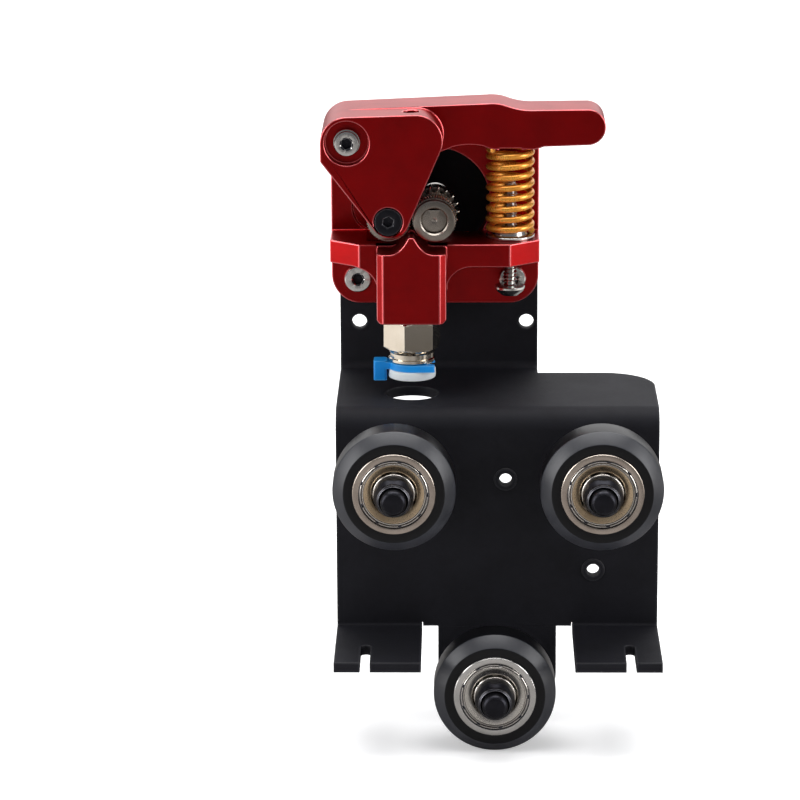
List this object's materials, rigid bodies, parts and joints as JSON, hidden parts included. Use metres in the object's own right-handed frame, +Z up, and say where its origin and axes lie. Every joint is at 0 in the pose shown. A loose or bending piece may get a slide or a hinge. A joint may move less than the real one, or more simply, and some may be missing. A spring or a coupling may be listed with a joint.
{
  "type": "extruder gear assembly",
  "caption": "Dual-gear filament extruder with sprung idler arm and push fitting, bolted to a bent steel carriage plate that rolls on V-groove wheels.",
  "frame": {"origin": "on the hot-end side face of the carriage plate, at the centre of the rail channel midway between the two top wheels", "axes": "+Z up, +X to the right when the wheels face the viewer, +Y from the wheels towards the hot-end side"},
  "size_m": [0.0664, 0.0647, 0.1223],
  "materials": {
    "powder_black": "fine-textured matt powder coat",
    "anodised_red": "satin red anodised",
    "wheel_plastic": "satin turned polymer",
    "bearing_steel": "polished rings with pressed shields",
    "black_oxide": "black oxide, slightly oily",
    "stainless": "bright stainless",
    "gear_steel": "turned and hobbed steel",
    "nickel": "nickel-plated brass",
    "spring_steel": "orange-gold lacquered wire",
    "blue_plastic": "glossy moulded blue",
    "white_plastic": "satin moulded white",
    "plain_aluminium": "turned bare aluminium"
  },
  "bodies": {
    "carriage": {"carriage_plate": "powder_black", "extruder_base": "anodised_red", "left_wheel_spacer": "plain_aluminium", "right_wheel_spacer": "plain_aluminium", "left_wheel_front_bearing_inner_ring": "bearing_steel", "left_wheel_rear_bearing_inner_ring": "bearing_steel", "left_wheel_bearing_shim": "stainless", "left_wheel_axle_screw": "black_oxide", "left_wheel_axle_nut": "black_oxide", "right_wheel_front_bearing_inner_ring": "bearing_steel", "right_wheel_rear_bearing_inner_ring": "bearing_steel", "right_wheel_bearing_shim": "stainless", "right_wheel_axle_screw": "black_oxide", "right_wheel_axle_nut": "black_oxide", "pivot_screw": "stainless", "pivot_washer": "stainless", "tension_spring": "spring_steel", "spring_seat_nut": "stainless", "motor_screw_lower_left": "stainless", "motor_screw_lower_right": "stainless", "motor_screw_upper_right": "stainless", "fitting_body": "nickel", "fitting_collet": "white_plastic"},
    "left_wheel": {"left_wheel_tyre": "wheel_plastic", "left_wheel_front_bearing_outer_ring": "bearing_steel", "left_wheel_front_bearing_balls": "stainless", "left_wheel_rear_bearing_outer_ring": "bearing_steel", "left_wheel_rear_bearing_balls": "stainless"},
    "right_wheel": {"right_wheel_tyre": "wheel_plastic", "right_wheel_front_bearing_outer_ring": "bearing_steel", "right_wheel_front_bearing_balls": "stainless", "right_wheel_rear_bearing_outer_ring": "bearing_steel", "right_wheel_rear_bearing_balls": "stainless"},
    "eccentric": {"eccentric_spacer": "plain_aluminium", "lower_wheel_front_bearing_inner_ring": "bearing_steel", "lower_wheel_rear_bearing_inner_ring": "bearing_steel", "lower_wheel_bearing_shim": "stainless", "lower_wheel_axle_screw": "black_oxide", "lower_wheel_axle_nut": "black_oxide"},
    "lower_wheel": {"lower_wheel_tyre": "wheel_plastic", "lower_wheel_front_bearing_outer_ring": "bearing_steel", "lower_wheel_front_bearing_balls": "stainless", "lower_wheel_rear_bearing_outer_ring": "bearing_steel", "lower_wheel_rear_bearing_balls": "stainless"},
    "arm": {"tension_arm": "anodised_red", "idler_screw": "black_oxide"},
    "idler": {"idler_gear": "gear_steel", "idler_needle_bearing": "bearing_steel"},
    "drive": {"drive_gear": "gear_steel", "drive_gear_grub_screw": "black_oxide", "motor_shaft_stub": "stainless"},
    "preload_screw": {"tension_screw": "stainless"},
    "clip": {"collet_clip": "blue_plastic"}
  },
  "joints": [
    {"name": "left_wheel_spin", "type": "hinge", "parent": "carriage", "child": "left_wheel", "pos_m": [-0.02, -0.0145, 0.01985], "axis": [0, 1, 0], "continuous": true},
    {"name": "right_wheel_spin", "type": "hinge", "parent": "carriage", "child": "right_wheel", "pos_m": [0.02, -0.0145, 0.01985], "axis": [0, 1, 0], "continuous": true},
    {"name": "eccentric_turn", "type": "hinge", "parent": "carriage", "child": "eccentric", "pos_m": [0, -0.005, -0.02055], "axis": [0, 1, 0], "range_deg": [-46, 134]},
    {"name": "lower_wheel_spin", "type": "hinge", "parent": "eccentric", "child": "lower_wheel", "pos_m": [-0.00057, -0.0145, -0.0211], "axis": [0, 1, 0], "continuous": true},
    {"name": "arm_pivot", "type": "hinge", "parent": "carriage", "child": "arm", "pos_m": [-0.02935, 0.017, 0.08285], "axis": [0, 1, 0], "range_deg": [0, 8], "deforming": ["tension_spring"]},
    {"name": "drive_spin", "type": "hinge", "parent": "carriage", "child": "drive", "pos_m": [-0.01235, 0.017, 0.06725], "axis": [0, 1, 0], "continuous": true},
    {"name": "idler_spin", "type": "hinge", "parent": "arm", "child": "idler", "pos_m": [-0.02135, 0.017, 0.06725], "axis": [0, 1, 0], "continuous": true},
    {"name": "preload_screw_turn", "type": "hinge", "parent": "carriage", "child": "preload_screw", "pos_m": [0.0026, 0.02, 0.055], "axis": [0, 0, 1], "range_deg": [-360, 360]},
    {"name": "clip_pull", "type": "slide", "parent": "carriage", "child": "clip", "axis": [-1, 0, 0], "range_m": [0, 0.014]}
  ],
  "couplings": [
    {"joint": "idler_spin", "follows": "drive_spin", "ratio": -1}
  ]
}
